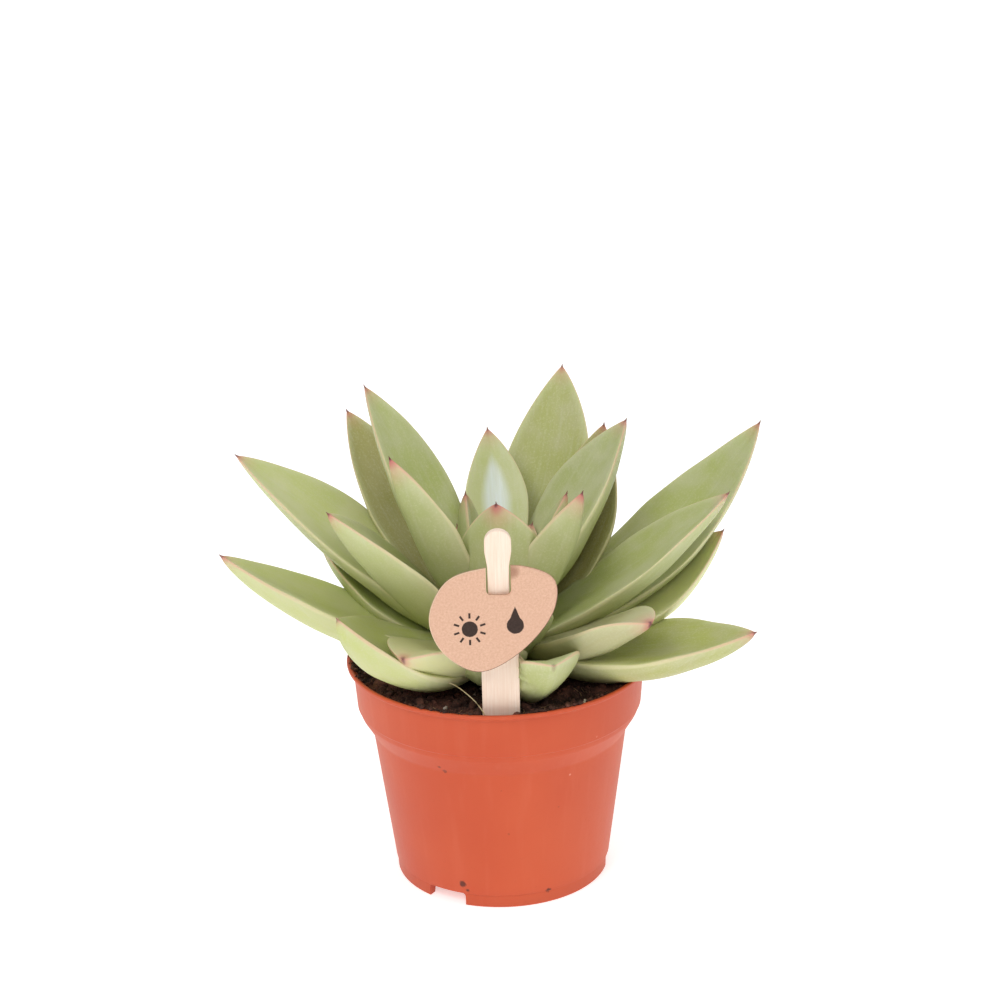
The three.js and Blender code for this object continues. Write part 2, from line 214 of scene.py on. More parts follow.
# Camera. focal, centre and frame are in pixels of a picture 1000 wide.
camera = {"target": (0, 0, 85), "distance": 750, "elevation": 22, "roll": -1.35,
          "focal": 2545, "centre": (497, 600.5), "frame": 1000, "sensor": 36, "clip": (0.05, 50)}


def makeCamera():
    data = bpy.data.cameras.new("camera")
    data.sensor_width = camera["sensor"]
    data.lens = camera["sensor"] * camera["focal"] / camera["frame"]
    data.shift_x = 0.5 - camera["centre"][0] / camera["frame"]
    data.shift_y = camera["centre"][1] / camera["frame"] - 0.5
    data.clip_start, data.clip_end = camera["clip"]
    rise = math.radians(camera["elevation"])
    back = Vector((0, -math.cos(rise), math.sin(rise)))
    eye = bpy.data.objects.new("camera", data)
    eye.location = (Vector(camera["target"]) + back * camera["distance"]) * mm
    turn = back.to_track_quat("Z", "Y").to_matrix().to_4x4()
    eye.matrix_world = Matrix.Translation(eye.location) @ turn @ Matrix.Rotation(
        math.radians(camera["roll"]), 4, "Z")
    bpy.context.scene.collection.objects.link(eye)
    bpy.context.scene.camera = eye


makeCamera()

# Leaves. turn: where the leaf leaves the stem, degrees, 0 is +X and 90 is the back. rise: height
# of its foot. pitch: slope at the foot. curl: how far it bends up. roll: about its own length.
# sway: sideways bend. blunt: 1 for a rounded end. nod: how far the end bends down again. fresh:
# yellow-green rather than grey-green. olive: browner. dusk: greyer. blush: redder tip. lit: paler
# all over, painted light. gloss: smoother, and at 1 with a pale stripe painted on as a highlight.
outerLeaves = [
    dict(turn=335, rise=73, length=75, width=32, thick=11, pitch=-6, curl=34, roll=4, fresh=0.75, olive=0.3),
    dict(turn=8, rise=71, length=70, width=31, thick=10, pitch=2, curl=50, roll=12, fresh=0.95, lit=1.25),
    dict(turn=32, rise=70, length=62, width=27, thick=9, pitch=10, curl=24, roll=6, fresh=0.5),
    dict(turn=60, rise=71, length=62, width=28, thick=9, pitch=10, curl=26, fresh=0.5),
    dict(turn=86, rise=70, length=72, width=29, thick=9, pitch=9, curl=24, fresh=0.4),
    dict(turn=112, rise=71, length=70, width=29, thick=9, pitch=10, curl=26, fresh=0.5),
    dict(turn=138, rise=70, length=64, width=28, thick=9, pitch=14, curl=24, fresh=0.5),
    dict(turn=170, rise=69, length=55, width=25, thick=9, pitch=20, curl=30, roll=-5, fresh=0.9),
    dict(turn=191, rise=70, length=82, width=27, thick=10, pitch=15, curl=24, roll=-3, fresh=0.7, lit=0.4),
    dict(turn=221, rise=71, length=60, width=32, thick=11, pitch=-3, curl=58, roll=-16, fresh=0.8,
         blush=-0.6, lit=0.4),
    dict(turn=238, rise=73, length=45, width=25, thick=9, pitch=2, curl=42, blunt=0.9, nod=50,
         dusk=0.6, blush=-0.2, lit=0.8),
    dict(turn=262, rise=71, length=38, width=24, thick=9, pitch=0, curl=60, fresh=0.3),
    dict(turn=288, rise=70, length=46, width=26, thick=10, pitch=-12, curl=78, blunt=0.8, nod=60,
         fresh=0.3, blush=-1.2),
    dict(turn=318, rise=74, length=54, width=23, thick=8, pitch=5, curl=45, blunt=0.9, nod=50,
         dusk=0.5, blush=0.1),
]
middleLeaves = [
    dict(turn=352, rise=73, length=77, width=29, thick=8, pitch=29, curl=18, roll=8, fresh=0.2),
    dict(turn=16, rise=72, length=98, width=32, thick=9, pitch=15, curl=46, roll=12, fresh=0.35),
    dict(turn=42, rise=72, length=71, width=31, thick=8, pitch=29, curl=55, olive=0.9),
    dict(turn=60, rise=77, length=82, width=27, thick=8, pitch=46, curl=8, sway=20, fresh=0.3, olive=0.35),
    dict(turn=100, rise=76, length=48, width=27, thick=8, pitch=24, curl=12, fresh=0.3),
    dict(turn=120, rise=74, length=68, width=27, thick=8, pitch=28, curl=14, fresh=0.3),
    dict(turn=138, rise=73, length=79, width=29, thick=8, pitch=41, curl=15, olive=0.8),
    dict(turn=150, rise=77, length=77, width=25, thick=8, pitch=64, curl=-4, roll=-3, fresh=0.3),
    dict(turn=174, rise=72, length=89, width=31, thick=9, pitch=40, curl=0, roll=-10, fresh=0.35,
         lit=0.4),
    dict(turn=206, rise=75, length=65, width=33, thick=9, pitch=45, curl=2, roll=-4, fresh=0.2, lit=0.2),
    dict(turn=243, rise=76, length=35, width=21, thick=8, pitch=26, curl=40, fresh=0.2),
    dict(turn=285, rise=75, length=36, width=21, thick=8, pitch=18, curl=40, fresh=0.2),
]
innerLeaves = [
    dict(turn=281, rise=78, length=48, width=26, thick=8, pitch=63, curl=14, sway=-30, blunt=0.1,
         blush=0.35),
    dict(turn=320, rise=81, length=52, width=20, thick=7.5, pitch=53, curl=12, roll=-6, blush=0.4),
    dict(turn=24, rise=81, length=65, width=29, thick=10, pitch=52, curl=6, gloss=0.6),
    dict(turn=214, rise=81, length=63, width=21, thick=7.5, pitch=59, curl=6, roll=6, blush=0.5),
    dict(turn=85, rise=85, length=50, width=19, thick=7, pitch=60, curl=0, sway=20, gloss=1.0,
         lit=0.3),
    dict(turn=165, rise=85, length=33, width=14, thick=6, pitch=82, curl=5, gloss=0.8),
    dict(turn=355, rise=85, length=37, width=14, thick=6, pitch=63, curl=5, gloss=0.4),
    dict(turn=128, rise=82, length=25, width=15, thick=6.5, pitch=55, curl=8, gloss=0.5),
    dict(turn=52, rise=83, length=24, width=15, thick=6.5, pitch=55, curl=8, gloss=0.5),
]
heartLeaves = [
    dict(turn=300, rise=88, length=24, width=12, thick=5, pitch=74, curl=6, gloss=0.6),
    dict(turn=60, rise=89, length=20, width=11, thick=5, pitch=78, curl=6, gloss=0.6),
    dict(turn=190, rise=90, length=18, width=10, thick=4.5, pitch=80, curl=6, gloss=0.6),
]
whorls = {"Inner": (5.5, innerLeaves), "Middle": (7, middleLeaves),
          "Outer": (7.5, outerLeaves), "Heart": (3, heartLeaves)}

blade = {
    "footWidth": 0.4, "widest": 0.56, "cup": 0.25, "topShare": 0.22,
    "footThickness": 0.45, "thickest": 0.32, "fall": 1.6, "widthFall": 0.88, "thicknessFall": 0.62,
    "bluntFall": 1.0, "bluntWidthFall": -0.38, "bluntThicknessFall": -0.2,
    "keelFoot": 0.15, "keelGain": 0.5, "nodDelay": 6,
    "rings": 46, "sides": 36,
    "spine": 0.9, "spineRadius": 0.24,  # the fine point beyond the tip
    "groove": 0.35, "grooveShare": 0.16,  # a shallow trough along the middle of the upper face
    "swell": 0.45, "swellSize": 13.0,  # slow dents and swellings
    "tipCrowd": 1.35, "marginCrowd": 0.35,  # rings and points stand closer there
    "endHalf": 0.03, "endThick": 0.06,
}


def leafWidth(t, blunt):
    past = np.clip((t - blade["widest"]) / (1 - blade["widest"]), 0, 1)
    rise = blade["footWidth"] + (1 - blade["footWidth"]) * np.sin(
        np.pi / 2 * np.clip(t / blade["widest"], 0, 1))
    fall = 1 - past ** (blade["fall"] + blade["bluntFall"] * blunt)
    fall = fall ** (blade["widthFall"] + blade["bluntWidthFall"] * blunt)
    return np.where(t < blade["widest"], rise, fall)


def leafThickness(t, blunt):
    past = np.clip((t - blade["thickest"]) / (1 - blade["thickest"]), 0, 1)
    rise = blade["footThickness"] + (1 - blade["footThickness"]) * np.sin(
        np.pi / 2 * np.clip(t / blade["thickest"], 0, 1))
    fall = 1 - past ** (blade["fall"] + blade["bluntFall"] * blunt)
    fall = fall ** (blade["thicknessFall"] + blade["bluntThicknessFall"] * blunt)
    return np.where(t < blade["thickest"], rise, fall)


def leafFrames(leaf, t):  # along, across and up from the hollow face, at each t
    heading = np.radians(leaf["turn"] + leaf.get("sway", 0) * t)
    slope = np.radians(leaf["pitch"] + leaf["curl"] * t - leaf.get("nod", 0) * t ** blade["nodDelay"])
    along = np.stack([np.cos(slope) * np.cos(heading), np.cos(slope) * np.sin(heading),
                      np.sin(slope)], 1)
    across = np.stack([-np.sin(heading), np.cos(heading), 0 * heading], 1)
    up = np.cross(along, across)
    roll = math.radians(leaf.get("roll", 0))
    return (along, math.cos(roll) * across + math.sin(roll) * up,
            math.cos(roll) * up - math.sin(roll) * across)


def leafLine(leaf, start, t):  # the middle line's point at each t
    fine = 400
    middles = (np.arange(fine) + 0.5) / fine
    steps = leafFrames(leaf, middles)[0] * leaf["length"] / fine
    path = np.vstack([np.zeros(3), np.cumsum(steps, 0)])
    turn = math.radians(leaf["turn"])
    foot = np.array([start * math.cos(turn), start * math.sin(turn), leaf["rise"]])
    return foot + np.stack([np.interp(t, np.arange(fine + 1) / fine, path[:, k]) for k in range(3)], 1)


def makeLeaf(name, node, leaf, start, seed, material):
    rings, sides = blade["rings"], blade["sides"]
    t = np.append(1 - (1 - np.linspace(0, 1, rings - 1)) ** blade["tipCrowd"], 1)
    along, across, up = leafFrames(leaf, t)
    centre = leafLine(leaf, start, t)
    centre[-1] += along[-1] * blade["spine"]
    blunt = leaf.get("blunt", 0)
    half = np.maximum(leaf["width"] / 2 * leafWidth(t, blunt), blade["spineRadius"])
    thick = np.maximum(leaf["thick"] * leafThickness(t, blunt), 2 * blade["spineRadius"])
    half[-1], thick[-1] = blade["endHalf"], blade["endThick"]
    turns = np.arange(sides) / sides
    angle = 2 * np.pi * turns - blade["marginCrowd"] * np.sin(4 * np.pi * turns) / 2
    c, s = np.cos(angle), np.sin(angle)
    s[np.abs(s) < 1e-9] = 0
    keel = (blade["keelFoot"] + blade["keelGain"] * t)[:, None]
    roundness = (1 - keel) * np.abs(s) + keel * (1 - np.abs(c))
    above = np.where(s >= 0, blade["topShare"] * s, -(1 - blade["topShare"]) * roundness)
    lift = blade["cup"] * half[:, None] * c ** 2 + thick[:, None] * above
    body = np.sin(np.pi * t) ** 0.5  # details fade at the foot and the tip
    trough = blade["groove"] * np.exp(-(c / blade["grooveShare"]) ** 2) * np.clip(s, 0, 1)
    lift = lift - body[:, None] * trough
    place = np.stack([np.repeat(t[:, None] * leaf["length"], sides, 1), half[:, None] * c,
                      np.full((rings, sides), seed * 37.0)], 2)
    side = np.where(s >= 0, 1.0, -1.0)
    for i in range(rings):
        for j in range(sides):
            where = Vector((place[i, j, 0], place[i, j, 1] + 4 * side[j], seed * 5.3))
            lift[i, j] += body[i] * blade["swell"] * noise.noise(where / blade["swellSize"])
    points = (centre[:, None] + across[:, None] * (half[:, None] * c)[..., None]
              + up[:, None] * lift[..., None]).reshape(-1, 3)
    points = standClear(points)
    faces = tubeFaces(rings, sides)
    faces.append(tuple(range(sides))[::-1])
    last = (rings - 1) * sides
    faces.append(tuple(last + i for i in range(sides)))
    marks = {
        "along": np.repeat(t, sides),
        "edge": (half[:, None] * (1 - np.abs(c))).ravel(),
        "face": np.tile(s, rings),
        "toTip": np.hypot((1 - t[:, None]) * leaf["length"], half[:, None] * c).ravel(),
        "place": place.reshape(-1, 3),
    }
    for key in ("fresh", "olive", "dusk", "blush", "gloss", "lit"):
        marks[key] = np.full(rings * sides, leaf.get(key, 0.0))
    return makePiece(name, points, faces, material, marks, [node])


# Leaves give way to the pick, the lip and the soil.
pick = {"thickness": 1.8, "width": 10.6, "neckWidth": 6, "headWidth": 7.4, "tipWidth": 3.2, "point": 12,
        "shoulder": 48, "neckFoot": 53, "neckTop": 63.5, "headMiddle": 68, "length": 74.5, "lean": 6,
        "soilPlace": (0.5, -39, 65), "soilDepth": 15, "edge": 0.18}
pot = {"lipRadius": 45, "lipInner": 44, "height": 68, "soilEdge": 64.4, "soilMiddle": 65.8,
       "soilMiddleRadius": 14, "soilRadius": 41.7, "lipInside": 1.6, "lipOutside": 0.6}
clear = 0.25


def standClear(points):
    points = points.copy()
    lean = math.tan(math.radians(pick["lean"]))
    x, y, z = pick["soilPlace"]
    rear = y - (points[:, 2] - z) * lean + pick["thickness"] / 2 + clear
    near = np.abs(points[:, 0] - x) - pick["width"] / 2 - clear
    low = points[:, 2] < z + pick["length"] - pick["soilDepth"]
    behind = (near < 0) & low & (points[:, 1] < rear)
    points[behind, 1] = rear[behind]
    radius = np.hypot(points[:, 0], points[:, 1])
    slope = np.clip((radius - pot["soilMiddleRadius"]) / (pot["soilRadius"] - pot["soilMiddleRadius"]), 0, 1)
    floor = pot["soilMiddle"] + (pot["soilEdge"] - pot["soilMiddle"]) * slope
    over = (radius > pot["lipInner"] - pot["lipInside"]) & (radius < pot["lipRadius"] + pot["lipOutside"])
    floor = np.where(over, pot["height"], np.where(radius < pot["lipRadius"], floor, 0)) + clear
    points[:, 2] = np.maximum(points[:, 2], floor)
    return points


leafTints = {
    "grey": tint(188, 192, 146), "green": tint(174, 182, 118), "fresh": tint(176, 190, 86),
    "pale": tint(206, 206, 164), "under": tint(178, 184, 126), "olive": tint(166, 154, 84),
    "dusk": tint(202, 190, 156), "margin": tint(222, 214, 172), "bloom": tint(204, 206, 176),
    "pink": tint(214, 146, 132), "red": tint(188, 78, 92), "dark": tint(96, 40, 52),
    "lit": tint(228, 230, 164), "paintedSheen": tint(226, 234, 232),
}


def leafPaint():
    p = Paint("leafSkin", Subsurface_Weight=0.12, Subsurface_Scale=0.003, IOR=1.42)
    p.skin.inputs["Subsurface Radius"].default_value = (0.7, 1.0, 0.3)
    place, along, edge = p.place("place"), p.mark("along"), p.mark("edge")
    face, toTip, fresh = p.mark("face"), p.mark("toTip"), p.mark("fresh")
    blush, gloss = p.mark("blush"), p.mark("gloss")
    patches = p.cloud(place, 0.09, 2.0)
    streaks = p.cloud(p.spread(place, (0.06, 0.9, 1.0)), 1.0, 3.0)
    specks = p.cloud(place, 1.7, 2.0, 0.7)
    upper = face.ease(-0.05, 0.25)
    base = p.blend(patches.ease(0.3, 0.7), leafTints["grey"], leafTints["green"])
    base = p.blend(fresh * (0.3 + 0.6 * patches.ease(0.25, 0.75)), base, leafTints["fresh"])
    base = p.blend((1 - upper) * (0.6 - 0.3 * fresh), base, leafTints["under"])
    base = p.blend(p.mark("olive") * 0.8, base, leafTints["olive"])
    base = p.blend(p.mark("dusk") * (0.6 + 0.6 * patches), base, leafTints["dusk"])
    # painted light: leaves with a lit value are made paler all over
    base = p.blend(p.mark("lit") * 0.7, base, leafTints["lit"])
    base = p.blend((1 - along.ease(0.0, 0.34)) * 0.5, base, leafTints["fresh"])
    strip = (1 - edge.ease(0.4, 3.0)) * (0.2 + 0.4 * streaks)
    base = p.blend(strip, base, leafTints["pale"])
    base = p.blend(streaks.ease(0.45, 0.8) * 0.2, base, leafTints["bloom"])
    base = p.blend(specks.ease(0.48, 0.7) * 0.34, base, leafTints["pale"])
    # painted highlight: a pale stripe on the upper face of the glossiest leaf
    paintedSheen = gloss.ease(0.9, 1.0) * upper * edge.ease(4.2, 7.2)  # the painted stripe
    paintedSheen = paintedSheen * along.ease(0.3, 0.5) * (1 - along.ease(0.75, 0.95))
    base = p.blend(paintedSheen * (0.35 + 0.9 * streaks), base, leafTints["paintedSheen"])
    rim = (1 - edge.ease(0.1, 0.5)) * (0.3 + 0.5 * patches)
    base = p.blend(rim, base, leafTints["margin"])
    rosy = (1 - edge.ease(0.0, 0.45)) * along.ease(0.55, 1.0) * 0.45
    base = p.blend(rosy, base, leafTints["pink"])
    warm = (1 - toTip.ease(0.8, 8.0 + 5.0 * blush)) * (0.3 + 0.4 * blush)
    base = p.blend(warm, base, leafTints["pink"])
    red = (1 - toTip.ease(0.6, 3.2 + 1.6 * blush)) * (0.5 + 0.4 * blush)
    base = p.blend(red, base, leafTints["red"])
    base = p.blend((1 - toTip.ease(0.1, 1.1)) * (0.8 + 0.4 * blush), base, leafTints["dark"])
    grain = p.cloud(place, 3.5, 2.0, 0.6) * 0.6 + streaks * 0.7
    p.bump(grain, 0.00012, 0.7)
    rough = 0.5 - 0.26 * gloss * upper + 0.12 * (patches - 0.5)
    return p.finish(Base_Color=base, Roughness=rough)


leafMaterial = leafPaint()
seed = 0
for whorl, (start, leaves) in whorls.items():
    for count, leaf in enumerate(leaves, 1):
        seed += 1
        node = f"leaf_{whorl.lower()}_{count:02d}"
        makeLeaf(f"leaf{whorl}{count:02d}", node, leaf, start, seed, leafMaterial)
print("leaves made:", seed)


# Pot
shell = {"foot": 32, "footFlare": 32.1, "step": 32.5, "stepHeight": 4.2, "shoulderFoot": (38, 46.2),
         "shoulderTop": (41.5, 52), "crease": (42.3, 54), "bandTop": (43.2, 66), "wall": 1,
         "floor": 4.2, "floorTop": 5.3, "pad": 11, "padTop": 1.1, "footWidth": 2.6, "sides": 200}
notch = {"width": 12.6, "height": 4, "depth": 8, "turns": (358, 118, 238)}
drain = {"radius": 3.5, "circle": 20, "count": 6}


def cutAway(piece, cutters):  # cuts the cutters out of the piece, then removes them
    for cutter in cutters:
        change = piece.modifiers.new("cut", "BOOLEAN")
        change.operation = "DIFFERENCE"
        change.solver = "EXACT"
        change.object = cutter
    bpy.context.view_layer.update()
    cut = bpy.data.meshes.new_from_object(piece.evaluated_get(bpy.context.evaluated_depsgraph_get()))
    piece.modifiers.clear()
    piece.data = cut
    for cutter in cutters:
        bpy.data.objects.remove(cutter)


def makeCutter(points, faces):
    mesh = bpy.data.meshes.new("cutter")
    mesh.from_pydata([tuple(p) for p in np.asarray(points) * mm], [], faces)
    cutter = bpy.data.objects.new("cutter", mesh)
    bpy.context.scene.collection.objects.link(cutter)
    return cutter


def notchCutter(turn):  # a block with rounded upper corners, across the foot ring
    half, rise = notch["width"] / 2, notch["height"]
    outline = rounded([(half, -2, 0), (half, rise, 1.2), (-half, rise, 1.2), (-half, -2, 0)], 4)
    a = math.radians(turn)
    points = []
    for reach in (shell["foot"] - notch["depth"] / 2, shell["foot"] + notch["depth"] / 2):
        for x, z in outline:
            points.append((reach * math.cos(a) - x * math.sin(a), reach * math.sin(a) + x * math.cos(a), z))
    count = len(outline)
    faces = tubeFaces(2, count) + [tuple(range(count))[::-1], tuple(range(count, 2 * count))]
    return makeCutter(points, faces)


def drainCutter(turn):
    points, faces = latheMesh([(0, -1), (drain["radius"], -1), (drain["radius"], 9), (0, 9)], 28)
    points += (drain["circle"] * math.cos(turn), drain["circle"] * math.sin(turn), 0)
    return makeCutter(points, faces)


stains = [  # turn, height, size, and how dark: soil marks and pale scuffs
    (248.5, 7.5, 1.3, 0.9), (251, 5.5, 0.8, 0.9), (294, 4.2, 1.2, 0.95), (243, 47.8, 0.8, 0.7),
    (245, 46.4, 0.9, 0.6), (238, 56, 0.6, 0.35), (302, 43, 0.5, -0.5), (311, 55, 0.8, -0.5),
    (297, 33, 0.4, 0.2), (273, 26, 0.5, 0.25), (270, 41, 0.4, 0.2), (190, 30, 1.0, 0.5),
    (95, 12, 1.4, 0.7), (60, 52, 0.9, 0.5), (130, 38, 0.8, -0.4), (20, 18, 0.9, 0.5),
]


def potPaint():
    p = Paint("potPlastic", IOR=1.36, Subsurface_Weight=0.05, Subsurface_Scale=0.001)
    place = p.node("ShaderNodeTexCoord", out="Object")
    split = p.node("ShaderNodeSeparateXYZ", None, [place])
    height = Wire(p, split.socket.node.outputs[2])
    slow = p.cloud(place, 22.0, 2.0)
    fine = p.cloud(place, 900.0, 3.0, 0.6)
    drawn = p.cloud(p.spread(place, (260.0, 260.0, 18.0)), 1.0, 2.0)
    base = p.blend(slow.ease(0.3, 0.7), tint(195, 79, 45), tint(203, 89, 53))
    base = p.blend(drawn.ease(0.5, 0.75) * 0.08, base, tint(222, 124, 96))
    base = p.blend(fine.ease(0.62, 0.75) * 0.1, base, tint(150, 70, 50))
    ragged = p.cloud(place, 700.0, 3.0, 0.7)
    for turn, rise, size, depth in stains:
        a = math.radians(turn)
        radius = np.interp(rise, [0, 46.2, 52, 66], [32.1, 38, 41.5, 43.2])
        spot = (radius * math.cos(a) * mm, radius * math.sin(a) * mm, rise * mm)
        away = p.node("ShaderNodeVectorMath", {"operation": "DISTANCE"}, [place, spot], out="Value")
        share = 1 - (away / (size * mm) + (ragged - 0.5) * 1.6).ease(0.35, 0.95)
        colour = tint(84, 42, 32) if depth > 0 else tint(240, 176, 150)
        base = p.blend(share * abs(depth), base, colour)
    # darker and duller in patches within 7 mm of the bottom
    lowDulling = (1 - height.ease(0.0, 0.007)) * (0.15 + 0.5 * slow) * 0.5
    base = p.blend(lowDulling, base, tint(168, 84, 60))
    soiled = p.mark("inside") * (height + (ragged - 0.5) * 0.004).ease(0.060, 0.0655)
    base = p.blend(soiled * 0.4, base, tint(90, 48, 36))
    p.bump(fine * 0.5 + drawn * 0.6, 0.00006, 0.6)
    return p.finish(Base_Color=base, Roughness=0.42 + 0.14 * (slow - 0.5) + 0.1 * fine)


def makePot():
    wall = shell["wall"]
    footX, footZ = shell["shoulderFoot"]
    topX, topZ = shell["shoulderTop"]
    creaseX, creaseZ = shell["crease"]
    bandX, bandZ = shell["bandTop"]
    lip, inner, height = pot["lipRadius"], pot["lipInner"], pot["height"]
    profile = rounded([
        (0, 0, 0), (shell["pad"], 0, 0.5), (shell["pad"] + wall, shell["floor"], 0.5),
        (shell["foot"] - shell["footWidth"] - wall, shell["floor"], 0.6),
        (shell["foot"] - shell["footWidth"], 0, 0.4), (shell["foot"], 0, 0.5),
        (shell["footFlare"], shell["stepHeight"] - 0.2, 0.15), (shell["step"], shell["stepHeight"], 0.15),
        (footX, footZ, 3.5), (topX, topZ, 3.0), (creaseX - 0.4, creaseZ - 0.4, 0.15),
        (creaseX, creaseZ, 0.3), (bandX, bandZ, 1.2), (lip, height - 1, 0.35),
        (lip, height, 0.45), (inner, height, 0.45), (bandX - wall, bandZ, 1.2),
        (topX - wall, topZ + 0.4, 3.0), (footX - wall, footZ + 0.4, 1.2),
        (shell["step"] - wall, shell["floorTop"] + 1, 1.0),
        (shell["step"] - wall - 1, shell["floorTop"], 0.5),
        (shell["pad"] + wall + 1, shell["floorTop"], 0.5), (shell["pad"], shell["padTop"], 0.5),
        (0, shell["padTop"], 0)], 5)
    points, faces = latheMesh(profile, shell["sides"])
    lipPlace = min(i for i, (r, z) in enumerate(profile) if z > height - 0.2 and r < lip - 0.3)
    inside = [1.0 if i > lipPlace else 0.0 for i, (r, z) in enumerate(profile)
              for _ in range(1 if r < 1e-6 else shell["sides"])]
    piece = makePiece("potShell", points, faces, potPaint(),
                      {"inside": inside}, ["pot"])
    cutters = [notchCutter(turn) for turn in notch["turns"]]
    cutters += [drainCutter(2 * math.pi * (i + 0.5) / drain["count"]) for i in range(drain["count"])]
    cutAway(piece, cutters)
    piece.data.set_sharp_from_angle(angle=math.radians(38))


makePot()
print("pot made")

# Soil
soil = {"edge": 64.4, "edgeRadius": 42.6, "middle": 65.8, "lump": 1.3, "lumpSize": 5.0,
        "sides": 190, "rows": 70,
        "slopeRun": 28, "grit": 0.5, "gritSize": 1.6,
        "heapPlace": (-38, 6), "heap": 2.2, "heapSpread": 150,  # heaped against the lip on the left
        "crumbs": 1500, "smallest": 0.35, "largest": 1.7, "perlite": 26, "fibres": 110}
spills = [  # crumbs on the wall and the lip: turns from and to, how many, radii from and to
    (150, 205, 120, 40, 44.5), (232, 262, 46, 41.6, 44.3), (276, 300, 60, 41.6, 44.3),
    (300, 352, 34, 41.6, 44.3), (20, 120, 50, 41.6, 44.3),
]
perliteInFront = [  # x, y, size
    (-22, -33, 0.6), (-13, -37, 0.5), (24, -31.5, 1.2), (27, -28.5, 0.7), (-33, -21, 0.5),
    (19, -34, 0.5), (-9, -38.5, 0.45), (34, -20, 0.6),
]


def soilHeight(x, y):
    radius = math.hypot(x, y)
    slope = min(max((radius - pot["soilMiddleRadius"]) / soil["slopeRun"], 0), 1)
    base = soil["middle"] + (soil["edge"] - soil["middle"]) * slope
    rough = noise.noise(Vector((x, y, 3.0)) / soil["lumpSize"]) * soil["lump"]
    fine = noise.noise(Vector((x, y, 9.0)) / soil["gritSize"]) * soil["grit"]
    heapX, heapY = soil["heapPlace"]
    heap = soil["heap"] * math.exp(-((x - heapX) ** 2 + (y - heapY) ** 2) / soil["heapSpread"])
    return base + rough + fine + heap


def soilPaint():
    p = Paint("peat", IOR=1.4)
    place = p.node("ShaderNodeTexCoord", out="Object")
    slow, fine = p.cloud(place, 160.0, 4.0, 0.7), p.cloud(place, 1400.0, 3.0, 0.7)
    base = p.blend(slow.ease(0.35, 0.7), tint(46, 29, 24), tint(110, 69, 56))
    base = p.blend(fine.ease(0.6, 0.74) * 0.7, base, tint(177, 120, 92))
    p.bump(slow * 0.6 + fine, 0.0005, 1.0)
    return p.finish(Base_Color=base, Roughness=0.86 + 0.1 * fine)


def ballForm(detail):  # a coarse ball of unit size
    form = bmesh.new()
    bmesh.ops.create_icosphere(form, subdivisions=detail, radius=1)
    points = [v.co.copy() for v in form.verts]
    faces = [tuple(v.index for v in f.verts) for f in form.faces]
    form.free()
    return points, faces


def addLump(points, faces, ball, place, size, rough, draw):  # a ball pushed in and out at random
    shift = Vector((draw.uniform(0, 99), draw.uniform(0, 99), draw.uniform(0, 99)))
    stretch = (draw.uniform(0.7, 1.35), draw.uniform(0.7, 1.2), draw.uniform(0.5, 0.95))
    turn = Matrix.Rotation(draw.uniform(0, 6.28), 3, "Z") @ Matrix.Rotation(draw.uniform(-0.6, 0.6), 3, "X")
    first = len(points)
    for corner in ball[0]:
        reach = size * (1 + rough * noise.noise(corner * 1.7 + shift))
        points.append(turn @ Vector(c * k * reach for c, k in zip(corner, stretch)) + place)
    faces.extend(tuple(first + i for i in face) for face in ball[1])


def addStrand(points, faces, path, radius, sides=5):  # a thin tube along the path, pointed at its ends
    first = len(points)
    for i, here in enumerate(path):
        ahead = (path[min(i + 1, len(path) - 1)] - path[max(i - 1, 0)]).normalized()
        side = ahead.orthogonal().normalized()
        other = ahead.cross(side)
        slim = radius * (0.25 if i in (0, len(path) - 1) else 1)
        for k in range(sides):
            a = 2 * math.pi * k / sides
            points.append(here + slim * (math.cos(a) * side + math.sin(a) * other))
    last = first + (len(path) - 1) * sides
    faces.extend(tuple(first + i for i in face) for face in tubeFaces(len(path), sides))
    faces.append(tuple(first + i for i in range(sides))[::-1])
    faces.append(tuple(last + i for i in range(sides)))


def makeSoil(material):
    wall = shell["wall"] + 0.3
    under = [(0, shell["padTop"] + 0.3), (shell["pad"], shell["padTop"] + 0.3),
             (shell["pad"] + wall, shell["floorTop"] + 0.3),
             (shell["step"] - wall - 1, shell["floorTop"] + 0.3),
             (shell["step"] - wall, shell["floorTop"] + 1),
             (shell["shoulderFoot"][0] - wall, shell["shoulderFoot"][1] + 0.4),
             (shell["shoulderTop"][0] - wall, shell["shoulderTop"][1] + 0.4),
             (shell["bandTop"][0] - wall, 61.5)]
    top = [(soil["edgeRadius"] * (1 - (i / soil["rows"]) ** 1.2), soil["edge"])
           for i in range(1, soil["rows"])]
    points, faces = latheMesh(under + top + [(0, soil["middle"])], soil["sides"])
    for point in points:
        if point[2] > 62:
            point[2] = soilHeight(point[0], point[1])
    makePiece("soilBed", points, faces, material, None, ["soil"])


def makeCrumbs(material):
    draw = random.Random(7)
    ball = ballForm(1)
    points, faces = [], []
    for _ in range(soil["crumbs"]):
        radius = 42.2 * math.sqrt(draw.uniform(0.12, 1.0))
        a = draw.uniform(0, 2 * math.pi)
        size = soil["smallest"] + (soil["largest"] - soil["smallest"]) * draw.random() ** 3.2
        x, y = radius * math.cos(a), radius * math.sin(a)
        place = Vector((x, y, soilHeight(x, y) + 0.25 * size))
        addLump(points, faces, ball, place, size, 0.9, draw)
    for low, high, count, inside, outside in spills:
        for _ in range(count):
            a = math.radians(draw.uniform(low, high))
            size = 0.25 + 0.75 * draw.random() ** 2
            radius = draw.uniform(inside, outside)
            rise = 66.2 + 1.9 * min(max((radius - 41.6) / 2, 0), 1)  # up the wall to the lip
            place = Vector((radius * math.cos(a), radius * math.sin(a), rise + 0.3 * size))
            addLump(points, faces, ball, place, size, 0.9, draw)
    makePiece("soilCrumbs", points, faces, material)


